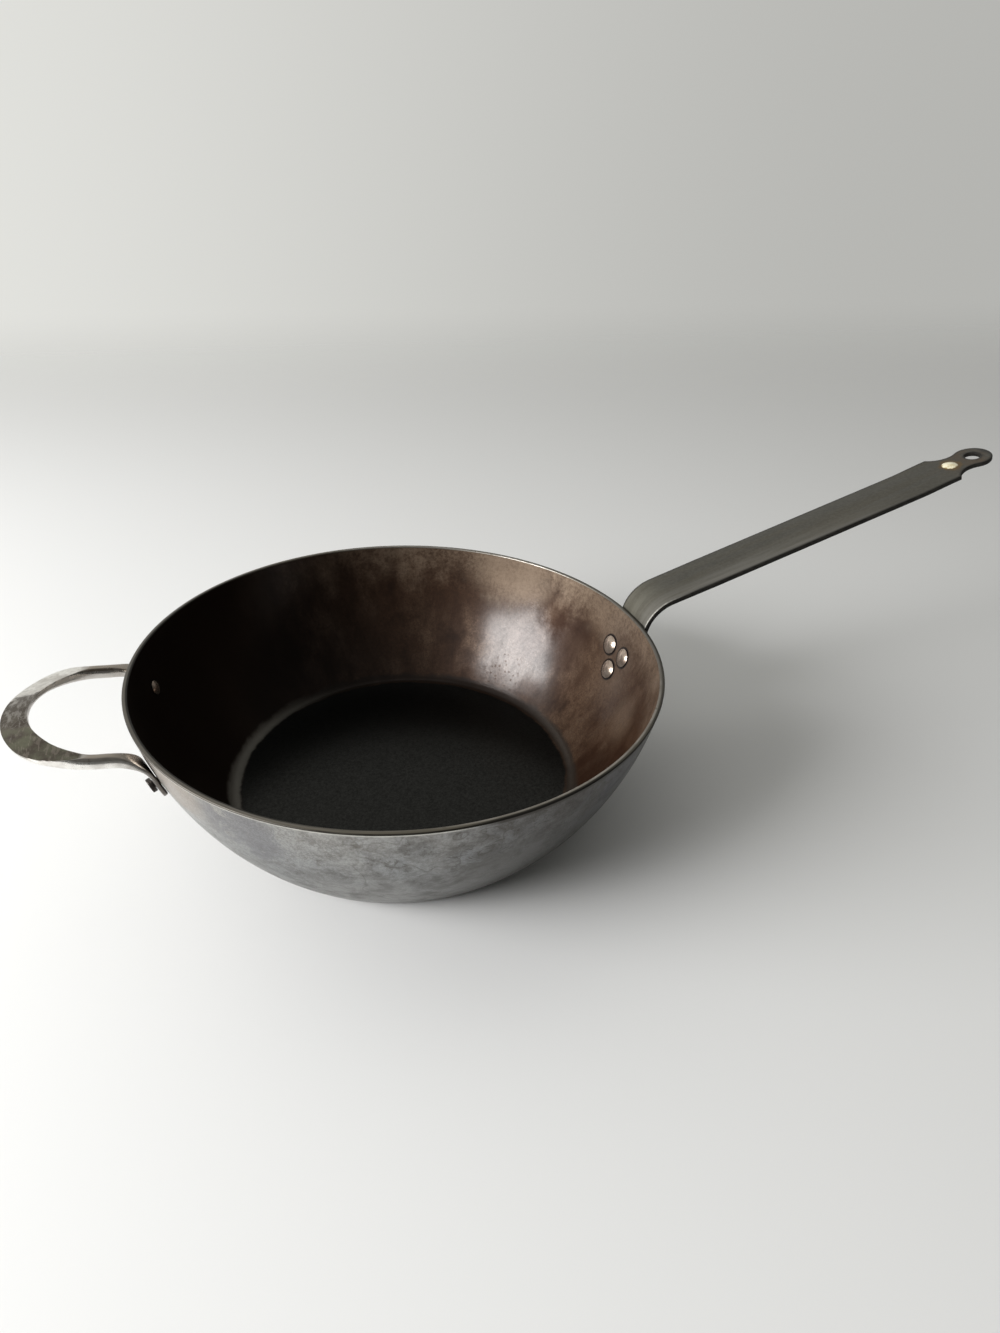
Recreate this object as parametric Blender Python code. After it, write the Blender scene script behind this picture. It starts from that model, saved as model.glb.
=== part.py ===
# Deep carbon steel frying pan with a riveted strip handle and a forged helper handle.
# Units are metres, +Z is up. The origin is the centre of the pan's underside.
# The long handle runs along +X. The helper handle is across from it, a little off the straight line.

import math

import bmesh
import bpy
from mathutils import Matrix, Vector

# Bowl, pressed from one sheet. Radii are measured on the outside unless the name says otherwise.
RIM_RADIUS = 0.160
PAN_DEPTH = 0.0974
SHEET = 0.003
FLOOR_RADIUS = 0.1088
CORNER_RADIUS = 0.007
CORNER_TURN = math.radians(49.8)
RIM_ROUNDING = 0.0008
BOWL_STEPS = 96
WALL_STEPS = 9

# Clearances between pieces that touch.
SEAT_GAP = 0.0003
HOLE_CLEARANCE = 0.0003
HEAD_GAP = 0.0003

# Long handle, bent from one blank of strip steel.
STRIP_THICKNESS = 0.003
STRIP_WIDTH = 0.0345
TAB_WIDTH = 0.0330
TAB_DROP = 0.053
TAB_END = 0.013
LIFT_DROP = 0.0025
BEND_RADIUS = 0.027
GRIP_SLOPE = math.radians(16.8)
GRIP_LENGTH = 0.252
GRIP_CROWN = 0.0011
CROWN_RUN = 0.032
DISH_RUN = 0.012
EYE_RADIUS = 0.0125
NECK_WIDTH = 0.0204
NECK_SETBACK = 0.0115
HANGING_HOLE_RADIUS = 0.0050
STRIP_EDGE_BEVEL = 0.0005

# Rivets of the long handle: two above, one below and between them.
UPPER_RIVET_DROP = 0.0280
LOWER_RIVET_DROP = 0.0430
RIVET_PITCH = 0.019
RIVET_SHANK = 0.003
RIVET_HEAD = 0.0064
RIVET_DOME = 0.0020
RIVET_TAIL = 0.005
RIVET_TAIL_HEIGHT = 0.0022

# Button let into the handle beside the neck.
BUTTON_SETBACK = 0.0195
BUTTON_RADIUS = 0.0053
BUTTON_SEAT_DEPTH = 0.0014
BUTTON_DOME = 0.0012

# Helper handle, forged from one round rod. Its turn is measured from the long handle.
HELPER_TURN = math.radians(182.9)
ROD = 0.0076
LOOP_HALF_WIDTH = 0.0445
LEG_LENGTH = 0.0115
LOOP_DEPTH = 0.0405
LOOP_HEIGHT = 0.0896
LOOP_RISE = math.radians(8.9)
HELPER_GRIP_WIDTH = 0.0132
HELPER_GRIP_THICKNESS = 0.0056
HELPER_GRIP_TILT = math.radians(20.0)
HELPER_TAB_ANGLE = math.radians(17.2)
HELPER_TAB_WIDTH = 0.015
HELPER_TAB_THICKNESS = 0.0025
HELPER_TAB_DROP = 0.0340
HELPER_TAB_TOP = 0.0180
HELPER_BEND_REACH = 0.0110
HELPER_RIVET_DROP = 0.0250

# Rivets of the helper handle.
HELPER_SHANK = 0.00225
HELPER_HEAD = 0.0045
HELPER_DOME = 0.0015
HELPER_TAIL = 0.0041
HELPER_TAIL_HEIGHT = 0.0024


def clear_scene():
    for item in list(bpy.data.objects):
        bpy.data.objects.remove(item, do_unlink=True)


def make_material(name, colour, roughness, metallic):
    material = bpy.data.materials.new(name)
    material.use_nodes = True
    shader = material.node_tree.nodes["Principled BSDF"]
    shader.inputs["Base Color"].default_value = (*colour, 1.0)
    shader.inputs["Roughness"].default_value = roughness
    shader.inputs["Metallic"].default_value = metallic
    return material


def add_object(name, bm, material, smooth_angle=30.0):
    bmesh.ops.recalc_face_normals(bm, faces=bm.faces)
    mesh = bpy.data.meshes.new(name)
    bm.to_mesh(mesh)
    bm.free()
    mesh.shade_smooth()
    mesh.set_sharp_from_angle(angle=math.radians(smooth_angle))
    if material:
        mesh.materials.append(material)
    item = bpy.data.objects.new(name, mesh)
    bpy.context.scene.collection.objects.link(item)
    return item


def add_cutter(name, radius, length, steps=32):
    bm = bmesh.new()
    bmesh.ops.create_cone(bm, cap_ends=True, segments=steps, radius1=radius, radius2=radius, depth=length)
    cutter = add_object(name, bm, None)
    cutter.hide_render = True
    cutter.display_type = "WIRE"
    return cutter


def cut(item, cutter):
    boolean = item.modifiers.new("cut_" + cutter.name, "BOOLEAN")
    boolean.operation = "DIFFERENCE"
    boolean.solver = "EXACT"
    boolean.object = cutter


def smooth_step(value):
    value = min(max(value, 0.0), 1.0)
    return value * value * (3.0 - 2.0 * value)


def arc(centre, radius, start, end, steps):
    # Points on an arc in section. The angle is the slope of the surface, 0 flat and 90 degrees upright.
    points = []
    for step in range(steps + 1):
        slope = start + (end - start) * step / steps
        points.append((centre[0] + radius * math.sin(slope), centre[1] - radius * math.cos(slope)))
    return points


class Wall:
    """The outer side of the bowl's wall in section: one arc from the corner to the rim."""

    def __init__(self):
        corner_outside = CORNER_RADIUS + SHEET
        start_r = FLOOR_RADIUS + corner_outside * math.sin(CORNER_TURN)
        start_z = corner_outside * (1.0 - math.cos(CORNER_TURN))
        rise = PAN_DEPTH - start_z
        run = RIM_RADIUS - start_r
        self.rim_slope = 2.0 * math.atan2(rise, run) - CORNER_TURN
        self.radius = math.hypot(rise, run) / (2.0 * math.sin((self.rim_slope - CORNER_TURN) / 2.0))
        self.centre = (
            start_r - self.radius * math.sin(CORNER_TURN),
            start_z + self.radius * math.cos(CORNER_TURN),
        )

    def slope(self, drop):
        return self.rim_slope - drop / self.radius

    def point(self, drop, offset=0.0):
        # Distance from the axis and height of a point, drop below the rim along the wall, offset outwards.
        slope = self.slope(drop)
        reach = self.radius + offset
        return self.centre[0] + reach * math.sin(slope), self.centre[1] - reach * math.cos(slope)

    def place(self, drop, angle):
        # Matrix with its origin on the outer side of the wall and its Z axis pointing straight out of it.
        slope = self.slope(drop)
        reach, height = self.point(drop)
        out = Vector((math.sin(slope) * math.cos(angle), math.sin(slope) * math.sin(angle), -math.cos(slope)))
        side = Vector((-math.sin(angle), math.cos(angle), 0.0))
        up = out.cross(side)
        matrix = Matrix((side, up, out)).transposed().to_4x4()
        matrix.translation = (reach * math.cos(angle), reach * math.sin(angle), height)
        return matrix


def rim_section(wall):
    # The rim is turned flat on top, with both corners rounded.
    inner_slope = math.acos((wall.centre[1] - PAN_DEPTH) / (wall.radius - SHEET))
    inner_r = wall.centre[0] + (wall.radius - SHEET) * math.sin(inner_slope)
    outside = []
    inside = []
    for turn in (0.0, 45.0, 90.0):
        angle = math.radians(turn)
        drop = RIM_ROUNDING * (1.0 - math.sin(angle))
        inset = RIM_ROUNDING * (1.0 - math.cos(angle))
        outside.append((RIM_RADIUS - inset, PAN_DEPTH - drop))
        inside.append((inner_r + inset, PAN_DEPTH - drop))
    return outside, inside[::-1], inner_slope


def build_bowl(wall, material):
    outside_rim, inside_rim, inner_slope = rim_section(wall)
    corner_centre = (FLOOR_RADIUS, SHEET + CORNER_RADIUS)
    rounding_turn = RIM_ROUNDING / wall.radius
    section = [(0.0, 0.0)]
    section += arc(corner_centre, CORNER_RADIUS + SHEET, 0.0, CORNER_TURN, 5)
    section += arc(wall.centre, wall.radius, CORNER_TURN, wall.rim_slope - rounding_turn, WALL_STEPS)[1:-1]
    section += outside_rim
    section += inside_rim
    section += arc(wall.centre, wall.radius - SHEET, inner_slope - rounding_turn, CORNER_TURN, WALL_STEPS)[1:-1]
    section += arc(corner_centre, CORNER_RADIUS, CORNER_TURN, 0.0, 5)
    section += [(0.0, SHEET)]
    bm = bmesh.new()
    points = [bm.verts.new((radius, 0.0, height)) for radius, height in section]
    edges = [bm.edges.new(pair) for pair in zip(points, points[1:])]
    bmesh.ops.spin(
        bm, geom=points + edges, cent=(0, 0, 0), axis=(0, 0, 1),
        angle=math.tau, steps=BOWL_STEPS, use_merge=True,
    )
    bmesh.ops.remove_doubles(bm, verts=bm.verts, dist=0.000001)
    return add_object("pan_body", bm, material)


class StripPath:
    """The line that the strip's seat side follows, from the tab's end to the eye's centre."""

    def __init__(self, wall):
        self.wall = wall
        self.tab_length = TAB_DROP - LIFT_DROP
        self.lift_slope = wall.slope(LIFT_DROP)
        self.lift = wall.point(LIFT_DROP, SEAT_GAP)
        self.bend_length = BEND_RADIUS * (self.lift_slope - GRIP_SLOPE)
        self.grip_start = self.tab_length + self.bend_length
        self.eye = self.grip_start + GRIP_LENGTH

    def at(self, along):
        # Distance from the pan's axis, height and slope.
        if along < self.tab_length:
            drop = TAB_DROP - along
            return *self.wall.point(drop, SEAT_GAP), self.wall.slope(drop)
        turned = min(along - self.tab_length, self.bend_length) / BEND_RADIUS
        slope = self.lift_slope - turned
        x = self.lift[0] + BEND_RADIUS * (math.sin(self.lift_slope) - math.sin(slope))
        z = self.lift[1] + BEND_RADIUS * (math.cos(slope) - math.cos(self.lift_slope))
        straight = max(along - self.grip_start, 0.0)
        return x + straight * math.cos(slope), z + straight * math.sin(slope), slope

    def bow(self, along, shoulder):
        # How far the edges of the section bend away from its middle: towards the wall on the tab,
        # down and away from it on the grip.
        reach, _, slope = self.at(along)
        dish = -((STRIP_WIDTH / 2.0) ** 2) * math.sin(slope) / (2.0 * reach)
        dish *= 1.0 - smooth_step((along - self.tab_length + DISH_RUN) / DISH_RUN)
        crown = GRIP_CROWN * smooth_step((along - self.tab_length) / CROWN_RUN)
        crown *= smooth_step((shoulder - along) / CROWN_RUN)
        return dish + crown

    def place(self, along):
        # Matrix on the seat side of the strip, its Z axis pointing up out of the grip.
        x, z, slope = self.at(along)
        forward = Vector((math.cos(slope), 0.0, math.sin(slope)))
        up = Vector((-math.sin(slope), 0.0, math.cos(slope)))
        matrix = Matrix((forward, up.cross(forward), up)).transposed().to_4x4()
        matrix.translation = (x, 0.0, z)
        return matrix


def blank_outline(path):
    # One edge of the flat blank from the tab's end to the eye's end, as distance along and half width.
    half = STRIP_WIDTH / 2.0
    tab_half = TAB_WIDTH / 2.0
    neck_half = NECK_WIDTH / 2.0
    edge = []
    for step in range(9):
        angle = math.radians(90.0) * step / 8.0
        edge.append((TAB_END * (1.0 - math.cos(angle)), tab_half * math.sin(angle)))
    edge.append((path.tab_length, tab_half))
    edge.append((path.grip_start + CROWN_RUN, half))
    # The neck is a hollow arc that runs into the round of the eye without a corner.
    neck_radius = (NECK_SETBACK ** 2 + neck_half ** 2 - EYE_RADIUS ** 2) / (2.0 * (EYE_RADIUS - neck_half))
    neck_along = path.eye - NECK_SETBACK
    neck_across = neck_half + neck_radius
    shoulder_angle = math.acos((neck_across - half) / neck_radius)
    join_angle = math.atan2(NECK_SETBACK, neck_across)
    for step in range(11):
        angle = -shoulder_angle + (join_angle + shoulder_angle) * step / 10.0
        along = neck_along + neck_radius * math.sin(angle)
        edge.append((along, neck_across - neck_radius * math.cos(angle)))
    shoulder = neck_along - neck_radius * math.sin(shoulder_angle)
    join = math.atan2(neck_across, -NECK_SETBACK)
    for step in range(1, 15):
        angle = join * (1.0 - step / 14.0)
        edge.append((path.eye + EYE_RADIUS * math.cos(angle), EYE_RADIUS * math.sin(angle)))
    return edge, shoulder


def split_at(bm, point, normal):
    geometry = bm.verts[:] + bm.edges[:] + bm.faces[:]
    bmesh.ops.bisect_plane(bm, geom=geometry, dist=0.000001, plane_co=point, plane_no=normal)


def build_long_handle(path, material):
    edge, shoulder = blank_outline(path)
    other_side = [(along, -across) for along, across in reversed(edge[1:-1])]
    bm = bmesh.new()
    corners = [bm.verts.new((along, across, 0.0)) for along, across in edge + other_side]
    face = bm.faces.new(corners)
    lifted = bmesh.ops.extrude_face_region(bm, geom=[face])["geom"]
    bmesh.ops.translate(
        bm, verts=[item for item in lifted if isinstance(item, bmesh.types.BMVert)],
        vec=(0.0, 0.0, STRIP_THICKNESS),
    )
    # The sheared edges are broken all round, while the blank is still flat.
    rims = [item for item in bm.edges if abs(item.verts[0].co.z - item.verts[1].co.z) < 0.00001]
    bmesh.ops.bevel(
        bm, geom=rims, offset=STRIP_EDGE_BEVEL, offset_type="OFFSET",
        segments=1, profile=0.5, affect="EDGES",
    )
    # Cuts across and along give the blank the points that it bends at.
    tab_steps = 8
    bend_steps = 12
    cuts = [path.tab_length * step / tab_steps for step in range(2, tab_steps + 1)]
    cuts += [path.tab_length + path.bend_length * step / bend_steps for step in range(1, bend_steps + 1)]
    cuts += [path.grip_start + CROWN_RUN * step / 4.0 for step in range(1, 5)]
    cuts += [shoulder - CROWN_RUN * step / 4.0 for step in range(4, -1, -1)]
    for along in cuts:
        split_at(bm, (along, 0.0, 0.0), (1.0, 0.0, 0.0))
    for across in (-2, -1, 0, 1, 2):
        split_at(bm, (0.0, across * STRIP_WIDTH / 6.0, 0.0), (0.0, 1.0, 0.0))
    # The blank is bent: every point goes to its place along the path and square to it.
    for vert in bm.verts:
        along, across, depth = vert.co
        x, z, slope = path.at(along)
        depth += path.bow(along, shoulder) * (across / (STRIP_WIDTH / 2.0)) ** 2
        vert.co = (x + depth * math.sin(slope), across, z - depth * math.cos(slope))
    return add_object("long_handle", bm, material)


def build_rivet(name, grip, shank, head, dome, tail, tail_height, material):
    # Turned about Z. The outer side of the bowl's wall is at zero, and the domed head is inside the bowl.
    under_head = -SHEET - HEAD_GAP
    under_tail = grip + HEAD_GAP
    section = [(0.0, under_head - dome)]
    dome_radius = (head ** 2 + dome ** 2) / (2.0 * dome)
    dome_angle = math.asin(min(head / dome_radius, 1.0))
    for step in range(1, 5):
        angle = dome_angle * step / 4.0
        section.append((dome_radius * math.sin(angle), under_head - dome + dome_radius * (1.0 - math.cos(angle))))
    tail_edge = tail_height * 0.2
    section += [
        (shank, under_head),
        (shank, under_tail),
        (tail - tail_edge / 2.0, under_tail),
        (tail, under_tail + tail_edge),
        (tail, under_tail + tail_height - tail_edge),
        (tail - tail_edge, under_tail + tail_height),
        (0.0, under_tail + tail_height),
    ]
    bm = bmesh.new()
    points = [bm.verts.new((radius, 0.0, height)) for radius, height in section]
    edges = [bm.edges.new(pair) for pair in zip(points, points[1:])]
    bmesh.ops.spin(
        bm, geom=points + edges, cent=(0, 0, 0), axis=(0, 0, 1),
        angle=math.tau, steps=20, use_merge=True,
    )
    bmesh.ops.remove_doubles(bm, verts=bm.verts, dist=0.000001)
    return add_object(name, bm, material)


def build_button(path, material):
    # A plain cap. Its foot lies in the seat, and its domed top stands proud of the strip.
    foot = -BUTTON_SEAT_DEPTH + HEAD_GAP
    dome_radius = (BUTTON_RADIUS ** 2 + BUTTON_DOME ** 2) / (2.0 * BUTTON_DOME)
    dome_angle = math.asin(BUTTON_RADIUS / dome_radius)
    section = [(0.0, foot), (BUTTON_RADIUS, foot)]
    for step in range(6):
        angle = dome_angle * (1.0 - step / 5.0)
        section.append((dome_radius * math.sin(angle), BUTTON_DOME - dome_radius * (1.0 - math.cos(angle))))
    bm = bmesh.new()
    points = [bm.verts.new((radius, 0.0, height)) for radius, height in section]
    edges = [bm.edges.new(pair) for pair in zip(points, points[1:])]
    bmesh.ops.spin(
        bm, geom=points + edges, cent=(0, 0, 0), axis=(0, 0, 1),
        angle=math.tau, steps=24, use_merge=True,
    )
    bmesh.ops.remove_doubles(bm, verts=bm.verts, dist=0.000001)
    button = add_object("handle_button", bm, material)
    button.matrix_world = path.place(path.eye - BUTTON_SETBACK)
    return button


def loop_point(outward, across):
    # A point of the loop's tilted plane, outward from the rim's edge.
    return Vector((
        -(RIM_RADIUS + outward * math.cos(LOOP_RISE)),
        across,
        LOOP_HEIGHT + outward * math.sin(LOOP_RISE),
    ))


def bezier(start, first, second, end, value):
    rest = 1.0 - value
    return (
        start * rest ** 3 + first * 3.0 * rest ** 2 * value
        + second * 3.0 * rest * value ** 2 + end * value ** 3
    )


def helper_stations(wall):
    """Centre, width direction, width, thickness and roundness of each section, tab end to mid grip."""
    angle = HELPER_TAB_ANGLE
    offset = SEAT_GAP + HELPER_TAB_THICKNESS / 2.0
    tab_side = Vector((-math.sin(angle), -math.cos(angle), 0.0))
    leg_side = Vector((0.0, -1.0, 0.0))

    def on_wall(drop):
        reach, height = wall.point(drop, offset)
        return Vector((-reach * math.cos(angle), reach * math.sin(angle), height))

    stations = []
    # Tab, with a round end.
    half = HELPER_TAB_WIDTH / 2.0
    for step in range(1, 6):
        turn = math.radians(90.0) * step / 5.0
        drop = HELPER_TAB_DROP - half * (1.0 - math.cos(turn))
        stations.append((on_wall(drop), tab_side, HELPER_TAB_WIDTH * math.sin(turn), HELPER_TAB_THICKNESS, 5.0, 5.0))
    for step in range(1, 5):
        drop = (HELPER_TAB_DROP - half) + (HELPER_TAB_TOP - HELPER_TAB_DROP + half) * step / 4.0
        stations.append((on_wall(drop), tab_side, HELPER_TAB_WIDTH, HELPER_TAB_THICKNESS, 5.0, 5.0))
    # Bend from the wall to the leg, where the flat tab gathers into the round rod.
    start = on_wall(HELPER_TAB_TOP)
    upward = (start - on_wall(HELPER_TAB_TOP + 0.0001)).normalized()
    end = loop_point(HELPER_BEND_REACH, LOOP_HALF_WIDTH)
    outward = (loop_point(1.0, 0.0) - loop_point(0.0, 0.0)).normalized()
    corner = (end - start).length * 0.45
    bend_steps = 9
    for step in range(1, bend_steps + 1):
        value = step / bend_steps
        centre = bezier(start, start + upward * corner, end - outward * corner, end, value)
        gather = smooth_step(value * 1.25)
        thicken = smooth_step((value - 0.1) / 0.8)
        width = HELPER_TAB_WIDTH + (ROD - HELPER_TAB_WIDTH) * gather
        thickness = HELPER_TAB_THICKNESS + (ROD - HELPER_TAB_THICKNESS) * thicken
        roundness = 5.0 - 3.0 * thicken
        stations.append((centre, tab_side.lerp(leg_side, value), width, thickness, roundness, roundness))
    # Leg and a quarter of the oval loop, where the rod is flattened into the grip.
    stations.append((loop_point(LEG_LENGTH, LOOP_HALF_WIDTH), leg_side, ROD, ROD, 2.0, 2.0))
    loop_steps = 16
    normal = Vector((math.sin(LOOP_RISE), 0.0, math.cos(LOOP_RISE)))
    for step in range(1, loop_steps + 1):
        turn = math.radians(90.0) * step / loop_steps
        centre = loop_point(LEG_LENGTH + LOOP_DEPTH * math.sin(turn), LOOP_HALF_WIDTH * math.cos(turn))
        heading = Vector((
            -LOOP_DEPTH * math.cos(turn) * math.cos(LOOP_RISE),
            -LOOP_HALF_WIDTH * math.sin(turn),
            LOOP_DEPTH * math.cos(turn) * math.sin(LOOP_RISE),
        )).normalized()
        forged = smooth_step((turn - math.radians(6.0)) / math.radians(52.0))
        width = ROD + (HELPER_GRIP_WIDTH - ROD) * forged
        thickness = ROD + (HELPER_GRIP_THICKNESS - ROD) * forged
        # The flat of the grip leans outwards.
        inwards = normal.cross(heading)
        lean = HELPER_GRIP_TILT * forged
        side = inwards * math.cos(lean) + normal * math.sin(lean)
        stations.append((centre, side, width, thickness, 2.0 + 5.0 * forged, 2.0 + 0.6 * forged))
    return stations


def build_helper_handle(wall, material):
    stations = helper_stations(wall)
    section_steps = 18
    bm = bmesh.new()
    rings = []
    for index, (centre, side, width, thickness, top, under) in enumerate(stations):
        before = stations[max(index - 1, 0)][0]
        after = stations[min(index + 1, len(stations) - 1)][0]
        heading = (after - before).normalized()
        if index == len(stations) - 1:
            heading = Vector((0.0, -1.0, 0.0))
        side = (side - heading * side.dot(heading)).normalized()
        up = heading.cross(side)
        ring = []
        for step in range(section_steps):
            turn = math.tau * step / section_steps
            power = 2.0 / (top if math.sin(turn) > 0.0 else under)
            across = math.copysign(abs(math.cos(turn)) ** power, math.cos(turn)) * width / 2.0
            above = math.copysign(abs(math.sin(turn)) ** power, math.sin(turn)) * thickness / 2.0
            ring.append(bm.verts.new(centre + side * across + up * above))
        rings.append(ring)
    for first, second in zip(rings, rings[1:]):
        for step in range(section_steps):
            following = (step + 1) % section_steps
            bm.faces.new((first[step], first[following], second[following], second[step]))
    bm.faces.new(rings[0])
    helper = add_object("helper_handle", bm, material)
    # The other half is its mirror image, welded to it at the middle of the grip.
    mirror = helper.modifiers.new("other_half", "MIRROR")
    mirror.use_axis = (False, True, False)
    mirror.use_mirror_merge = True
    mirror.merge_threshold = 0.00005
    # It is built towards -X and then turned to its place.
    helper.rotation_euler.z = HELPER_TURN - math.pi
    return helper


def main():
    clear_scene()
    bowl_steel = make_material("seasoned_steel", (0.09, 0.065, 0.05), 0.38, 0.85)
    strip_steel = make_material("coated_strip_steel", (0.075, 0.07, 0.06), 0.45, 0.6)
    rivet_steel = make_material("rivet_steel", (0.30, 0.26, 0.22), 0.30, 0.9)
    forged_steel = make_material("forged_steel", (0.42, 0.39, 0.35), 0.32, 0.95)
    enamel = make_material("cream_enamel", (0.80, 0.72, 0.45), 0.25, 0.0)

    wall = Wall()
    path = StripPath(wall)
    bowl = build_bowl(wall, bowl_steel)
    handle = build_long_handle(path, strip_steel)
    helper = build_helper_handle(wall, forged_steel)

    # Rivets of the long handle. One cutter drills wall and tab together, so their holes line up.
    half_pitch = RIVET_PITCH / 2.0 / wall.point(UPPER_RIVET_DROP)[0]
    for name, drop, angle in (
        ("handle_rivet_left", UPPER_RIVET_DROP, half_pitch),
        ("handle_rivet_right", UPPER_RIVET_DROP, -half_pitch),
        ("handle_rivet_lower", LOWER_RIVET_DROP, 0.0),
    ):
        grip = SEAT_GAP + STRIP_THICKNESS
        rivet = build_rivet(
            name, grip, RIVET_SHANK, RIVET_HEAD, RIVET_DOME, RIVET_TAIL, RIVET_TAIL_HEIGHT, rivet_steel
        )
        rivet.matrix_world = wall.place(drop, angle)
        drill = add_cutter("drill_" + name, RIVET_SHANK + HOLE_CLEARANCE, 4.0 * (SHEET + grip))
        drill.matrix_world = wall.place(drop, angle)
        cut(bowl, drill)
        cut(handle, drill)

    # Rivets of the helper handle, one in each tab.
    for name, angle in (
        ("helper_rivet_left", HELPER_TURN + HELPER_TAB_ANGLE),
        ("helper_rivet_right", HELPER_TURN - HELPER_TAB_ANGLE),
    ):
        grip = SEAT_GAP + HELPER_TAB_THICKNESS
        rivet = build_rivet(
            name, grip, HELPER_SHANK, HELPER_HEAD, HELPER_DOME, HELPER_TAIL, HELPER_TAIL_HEIGHT, rivet_steel
        )
        rivet.matrix_world = wall.place(HELPER_RIVET_DROP, angle)
        drill = add_cutter("drill_" + name, HELPER_SHANK + HOLE_CLEARANCE, 4.0 * (SHEET + grip))
        drill.matrix_world = wall.place(HELPER_RIVET_DROP, angle)
        cut(bowl, drill)
        cut(helper, drill)

    # Hanging hole through the eye, and the seat of the button.
    punch = add_cutter("punch_hanging_hole", HANGING_HOLE_RADIUS, 4.0 * STRIP_THICKNESS, 36)
    punch.matrix_world = path.place(path.eye)
    cut(handle, punch)
    seat = add_cutter("button_seat", BUTTON_RADIUS + HOLE_CLEARANCE, 2.0 * BUTTON_SEAT_DEPTH)
    seat.matrix_world = path.place(path.eye - BUTTON_SETBACK)
    cut(handle, seat)
    build_button(path, enamel)


main()
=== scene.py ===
# Carbon steel frying pan: finished pieces, finishes and studio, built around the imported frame.
# Metres, +Z up. The long handle runs along +X.
from functools import partial
from math import acos, asin, atan2, copysign, cos, hypot, pi, radians, sin, sqrt, tau

import bmesh
import bpy
from mathutils import Matrix, Vector, noise


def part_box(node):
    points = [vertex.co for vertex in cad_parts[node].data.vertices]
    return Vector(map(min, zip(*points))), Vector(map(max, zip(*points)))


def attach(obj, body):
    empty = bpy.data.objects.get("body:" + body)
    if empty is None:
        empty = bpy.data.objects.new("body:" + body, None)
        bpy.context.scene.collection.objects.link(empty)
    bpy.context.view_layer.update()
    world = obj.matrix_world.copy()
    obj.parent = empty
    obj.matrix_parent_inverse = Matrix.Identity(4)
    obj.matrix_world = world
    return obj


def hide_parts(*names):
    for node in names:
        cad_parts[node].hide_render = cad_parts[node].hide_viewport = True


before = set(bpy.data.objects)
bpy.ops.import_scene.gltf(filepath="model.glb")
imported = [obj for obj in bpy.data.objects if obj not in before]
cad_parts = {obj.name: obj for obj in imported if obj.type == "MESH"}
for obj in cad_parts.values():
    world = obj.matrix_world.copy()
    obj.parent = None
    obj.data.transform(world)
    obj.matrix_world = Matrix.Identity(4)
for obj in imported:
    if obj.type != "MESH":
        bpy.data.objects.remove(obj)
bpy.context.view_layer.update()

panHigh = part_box("pan_body")[1]
quarter = radians(90)
seatGap = 0.0003    # between any two pieces
print("frame loaded:", sorted(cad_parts))


# Small helpers for meshes

def putObject(name, data):
    placed = bpy.data.objects.new(name, data)
    bpy.context.scene.collection.objects.link(placed)
    return placed


def newObject(name, bm, materials, sharpAngle=35):
    mesh = bpy.data.meshes.new(name)
    bm.to_mesh(mesh)
    bm.free()
    mesh.shade_smooth()
    mesh.set_sharp_from_angle(angle=radians(sharpAngle))
    for material in materials:
        mesh.materials.append(material)
    return putObject(name, mesh)


def fitPiece(piece, node):
    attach(piece, "root")
    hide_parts(node)
    print("piece made:", piece.name, len(piece.data.polygons), "faces")


def whole(bm):
    return bm.verts[:] + bm.edges[:] + bm.faces[:]


def closeMesh(bm):
    bmesh.ops.remove_doubles(bm, verts=bm.verts, dist=0.000002)
    bmesh.ops.recalc_face_normals(bm, faces=bm.faces)


def shares(count):
    return [step / count for step in range(1, count + 1)]


def smoothStep(value):
    value = min(max(value, 0), 1)
    return value * value * (3 - 2 * value)


def smoothMax(value, blend):
    # like max(value, 0), with a rounded corner
    if value > blend:
        return value
    if value < -blend:
        return 0
    return (value + blend) ** 2 / (4 * blend)


def directions(heading, rise):
    # the direction itself, and the level one to its left
    toward = Vector((cos(heading) * cos(rise), sin(heading) * cos(rise), sin(rise)))
    return toward, Vector((-sin(heading), cos(heading), 0))


def facing(side, up, out, centre):
    # matrix at a place, with these directions as its axes
    matrix = Matrix((side, up, out)).transposed().to_4x4()
    matrix.translation = centre
    return matrix


def arcPoints(centre, radius, start, end, steps):
    # an arc in section; the angle is the slope of the surface, 0 flat and 90 degrees upright
    slopes = [start + (end - start) * step / steps for step in range(steps + 1)]
    return [(centre[0] + radius * sin(slope), centre[1] - radius * cos(slope)) for slope in slopes]


def spinSection(bm, section, steps, materialIndex=0):
    # a section of (radius, height) points is spun round Z
    before = len(bm.faces)
    points = [bm.verts.new((radius, 0, height)) for radius, height in section]
    edges = [bm.edges.new(pair) for pair in zip(points, points[1:])]
    bmesh.ops.spin(bm, geom=points + edges, cent=(0, 0, 0), axis=(0, 0, 1),
                   angle=tau, steps=steps, use_merge=True)
    bm.faces.ensure_lookup_table()
    for face in bm.faces[before:]:
        face.material_index = materialIndex


# Small helpers for materials

def isSocket(value):
    return isinstance(value, bpy.types.NodeSocket)


def fill(made, inputs):
    # a value is set on an input, the socket of another node is linked to it
    for name, value in inputs.items():
        if isSocket(value):
            made.id_data.links.new(value, made.inputs[name])
        else:
            made.inputs[name].default_value = value
    return made


def source(tree, kind, **settings):
    made = tree.nodes.new("ShaderNode" + kind)
    for name, value in settings.items():
        setattr(made, name, value)
    return made


def add(kind, inputs, **settings):
    # the new node goes into the tree that its inputs come from
    tree = next(value.id_data for value in inputs.values() if isSocket(value))
    return fill(source(tree, kind, **settings), inputs)


def calc(operation, first, second=0):
    return add("Math", {0: first, 1: second}, operation=operation).outputs[0]


times, plus, minus, absolute = [partial(calc, name) for name in ("MULTIPLY", "ADD", "SUBTRACT", "ABSOLUTE")]


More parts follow.
